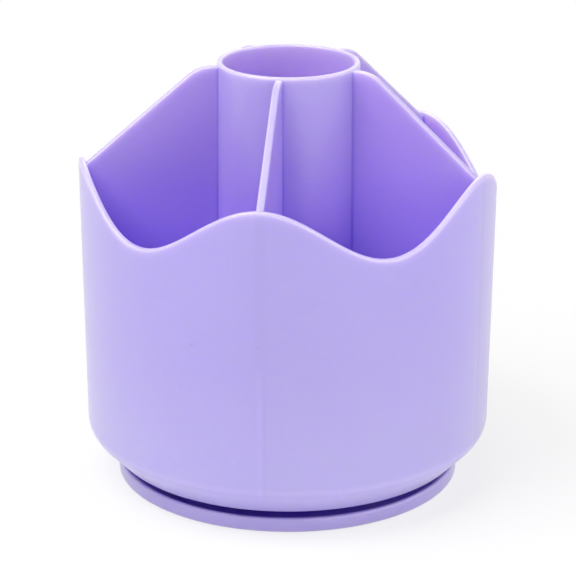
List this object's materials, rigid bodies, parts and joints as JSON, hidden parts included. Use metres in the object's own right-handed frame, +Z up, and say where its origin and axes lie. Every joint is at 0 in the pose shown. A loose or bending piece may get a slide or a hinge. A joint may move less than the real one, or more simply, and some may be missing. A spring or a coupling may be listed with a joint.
{
  "type": "rotating pen holder",
  "caption": "Round desk pen holder with a wavy rim, wedge-shaped compartments and a tall centre tube, turning on balls over a low round base.",
  "frame": {"origin": "on the turning axis, at the table under the feet", "axes": "+Z up along the turning axis, -Y towards the divider that faces the viewer, +X to the viewer's right"},
  "size_m": [0.1298, 0.1298, 0.1339],
  "materials": {
    "lavender_plastic": "satin moulded",
    "cage_plastic": "natural, semi-matt",
    "ball_steel": "polished",
    "plated_steel": "zinc plated",
    "foot_rubber": "matt"
  },
  "bodies": {
    "stand": {"base": "lavender_plastic", "foot_1": "foot_rubber", "foot_2": "foot_rubber", "foot_3": "foot_rubber", "foot_4": "foot_rubber"},
    "carousel": {"drum": "lavender_plastic", "pivot_screw": "plated_steel", "pivot_washer": "plated_steel"},
    "ball_ring": {"ball_cage": "cage_plastic", "bearing_ball_01": "ball_steel", "bearing_ball_02": "ball_steel", "bearing_ball_03": "ball_steel", "bearing_ball_04": "ball_steel", "bearing_ball_05": "ball_steel", "bearing_ball_06": "ball_steel"}
  },
  "joints": [
    {"name": "drum_spin", "type": "hinge", "parent": "stand", "child": "carousel", "pos_m": [0, 0, 0.0052], "axis": [0, 0, 1], "continuous": true},
    {"name": "cage_spin", "type": "hinge", "parent": "stand", "child": "ball_ring", "pos_m": [0, 0, 0.0052], "axis": [0, 0, 1], "continuous": true}
  ],
  "couplings": [
    {"joint": "cage_spin", "follows": "drum_spin", "ratio": 0.5}
  ]
}
